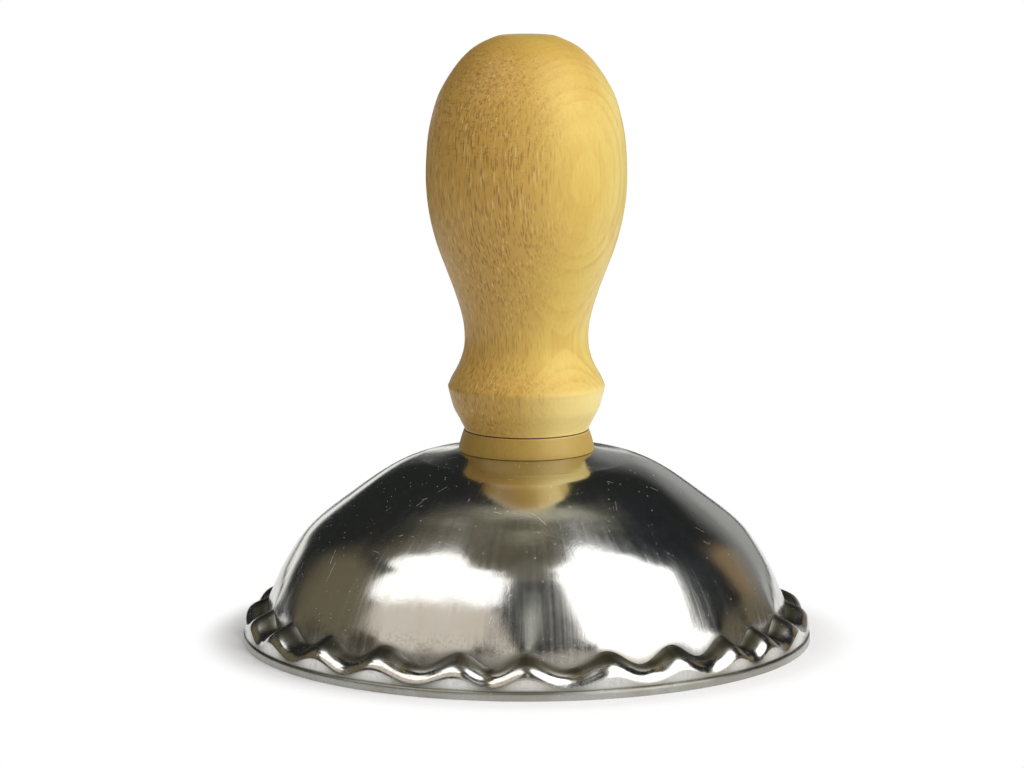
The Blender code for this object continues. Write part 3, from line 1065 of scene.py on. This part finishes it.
@dataclass
class Studio:
    """Camera, white ground, soft lamps, and the dark room with its light panels that metal mirrors."""

    camera_distance: float = 0.72
    camera_height: float = 0.16137
    camera_pitch: float = 9.178
    focal_pixels: float = 4164.0
    centre_column: float = 526.5
    sensor_width: float = 36.0
    clip: Pair = (0.01, 50.0)
    floor_radius: float = 4.0
    lit_floor: Pair = (0.0515, 0.059)
    dark_floor: Pair = (0.2, 0.42)
    floor_grey: Colour = (0.86, 0.86, 0.86)
    floor_lift: float = 0.13
    mirrored_lift: float = 0.32
    room_radius: float = 3.6
    room_centre: float = 0.02
    ambient: float = 0.24
    dark: Colour = (0.022, 0.024, 0.023)
    lamps: tuple[Lamp, ...] = (
        Lamp("left_softbox", -62.0, 52.0, (2.2, 0.95), 0.42, (1.0, 0.985, 0.97)),
        Lamp("right_softbox", 55.0, 44.0, (1.9, 1.7), 2.4),
        Lamp("low_right_softbox", 82.0, 12.0, (1.2, 0.9), 1.6),
    )
    glows: tuple[Glow, ...] = (
        Glow((-40, 15), (-8, 20), (0.122, 0.108, 0.072), 0.1, 2.5, bend=0.02, overhead=True),
        Glow((-15, 24), (-9.2, -7.0), (1.0, 0.97, 0.75), 0.35, 2.0, bend=0.02, overhead=True),
        Glow((-24, 30), (-6, 19), (0.55, 0.51, 0.46), 0.25),
        Glow((-18, 28), (18, 78), (0.065, 0.066, 0.062), 0.1),
        Glow((-1, 7), (22, 53), (0.68, 0.7, 0.64), 0.3, 3.0),
        Glow((-130, -80), (4, 40), (0.18, 0.154, 0.098), 0.45),
        Glow((-82, -15), (14, 53), (0.86, 0.78, 0.68), 0.1),
        Glow((-112, -15), (48.5, 73.5), (2.0, 1.97, 1.92), 0.06, 6.0),
        Glow((-91, -40), (53, 82), (2.0, 1.97, 1.92), 0.07, 4.0, bend=0.003),
        Glow((26, 82), (-3, 77), (2.6, 2.6, 2.6), 0.05, 8.0),
        Glow((50, 98), (14, 77), (2.6, 2.6, 2.6), 0.05, 6.0, 0.62),
        Glow((-34, 40), (62, 92), (0.17, 0.16, 0.125), 0.2, 2.0),
        Glow((100, 140), (22, 56), (0.018, 0.022, 0.026), 0.25),
        Glow((94, 134), (-4, 14), (0.17, 0.15, 0.1), 0.25),
        Glow((120, 141), (8, 31), (0.3, 0.215, 0.125), 0.5, 2.0),
        Glow((141, 155), (-3, 6), (1.15, 1.15, 1.12), 0.25),
        Glow((138, 182), (-14, 22), (0.42, 0.42, 0.41), 0.6, 2.0),
        Glow((-178, -135), (-10, 6), (1.15, 1.15, 1.1), 0.2, lean=-1.5),
    )

    def make_camera(self) -> None:
        """Puts the camera where the photograph was taken from."""
        data = bpy.data.cameras.new("photo_camera")
        data.sensor_width = self.sensor_width
        data.lens = self.focal_pixels / IMAGE_WIDTH * self.sensor_width
        data.shift_x = (IMAGE_WIDTH / 2 - self.centre_column) / IMAGE_WIDTH
        data.clip_start, data.clip_end = self.clip
        camera = new_object("photo_camera", data)
        camera.location = (0.0, -self.camera_distance, self.camera_height)
        camera.rotation_euler = Euler((math.radians(90 - self.camera_pitch), 0.0, 0.0))
        bpy.context.scene.camera = camera

    def make_world(self) -> None:
        """White to the camera and in reflections, and an even soft light on everything else."""
        world = bpy.data.worlds.new("studio_air")
        bpy.context.scene.world = world
        world.use_nodes = True
        work = NodeWork(world.node_tree)
        path = work.add("LightPath").outputs
        seen = work.most(path["Is Camera Ray"], path["Is Glossy Ray"], path["Is Transmission Ray"])
        soft, white = (work.light(WHITE, strength, "Background") for strength in (self.ambient, 1.0))
        work.add("OutputWorld", {"Surface": work.layer(seen, soft, white)})

    def make_floor(self) -> None:
        """A pale floor that keeps the object's shadow, is white further away, and ends for reflections."""
        material, work = new_material("pale_floor")
        away = work.vector("LENGTH", work.add("TexCoord").outputs["Object"])
        path = work.add("LightPath").outputs
        camera, glossy = path["Is Camera Ray"], path["Is Glossy Ray"]
        lit = work.add("BsdfDiffuse", {"Color": self.floor_grey}).outputs[0]
        lift = work.calc("MULTIPLY_ADD", camera, self.floor_lift, work.times(glossy, self.mirrored_lift))
        top = work.add("AddShader", {0: lit, 1: work.light(WHITE, lift)}).outputs[0]
        top = work.layer(work.times(work.ramp(away, *self.lit_floor), camera), top, work.light(WHITE))
        top = work.layer(work.times(work.ramp(away, *self.dark_floor), glossy), top, work.light(self.dark))
        below = work.add("NewGeometry").outputs["Backfacing"]
        clear = work.add("BsdfTransparent").outputs[0]
        work.add("OutputMaterial", {"Surface": work.layer(below, top, clear)})
        form = bmesh.new()
        bmesh.ops.create_circle(form, cap_ends=True, segments=96, radius=self.floor_radius)
        floor = new_surround(form, "floor", material)

    def make_room(self) -> None:
        """The dark room and its light panels, which only reflections see."""
        material, work = new_material("room_light")
        place = work.add("TexCoord").outputs["Object"]
        place = work.vector("SUBTRACT", place, (0.0, 0.0, self.room_centre))
        right, back, up = work.split(work.vector("NORMALIZE", place))
        front = work.times(back, -1.0)

        def tilt(part: Any, other: Any) -> Socket:
            """Angle in degrees whose tangent is one part over the other."""
            return work.times(work.calc("ARCTAN2", part, other), 180 / math.pi)

        level = work.calc("SQRT", work.calc("SUBTRACT", 1.0, work.times(up, up)))
        around, above = (tilt(right, front), tilt(up, level)), (tilt(right, up), tilt(front, up))
        colour: Any = self.dark
        for glow in self.glows:
            colour = work.blend(glow.mask(work, *(above if glow.overhead else around)), colour, glow.light)
        work.add("OutputMaterial", {"Surface": work.light(colour)})
        form = bmesh.new()
        bmesh.ops.create_uvsphere(form, u_segments=96, v_segments=48, radius=self.room_radius)
        bmesh.ops.reverse_faces(form, faces=form.faces)
        room = new_surround(form, "mirrored_room", material)
        room.data.shade_smooth()
        for kind in ("camera", "diffuse", "transmission", "volume_scatter", "shadow"):
            setattr(room, f"visible_{kind}", False)

    def build(self) -> None:
        """Makes everything around the object."""
        self.make_camera()
        self.make_world()
        self.make_floor()
        self.make_room()
        for lamp in self.lamps:
            lamp.build()
        bpy.context.scene.view_settings.view_transform = "Standard"


def main() -> None:
    """Builds the pieces, dresses them and sets the studio round them."""
    logging.basicConfig(level=logging.INFO, format="%(name)s: %(message)s")
    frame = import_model()
    CrimpedDome().build(PolishedSteel().build())
    TurnedHandle().build(OiledBeech().build())
    Fixing().dress(frame["nodes"])
    Studio().build()


if __name__ == "__main__":
    main()
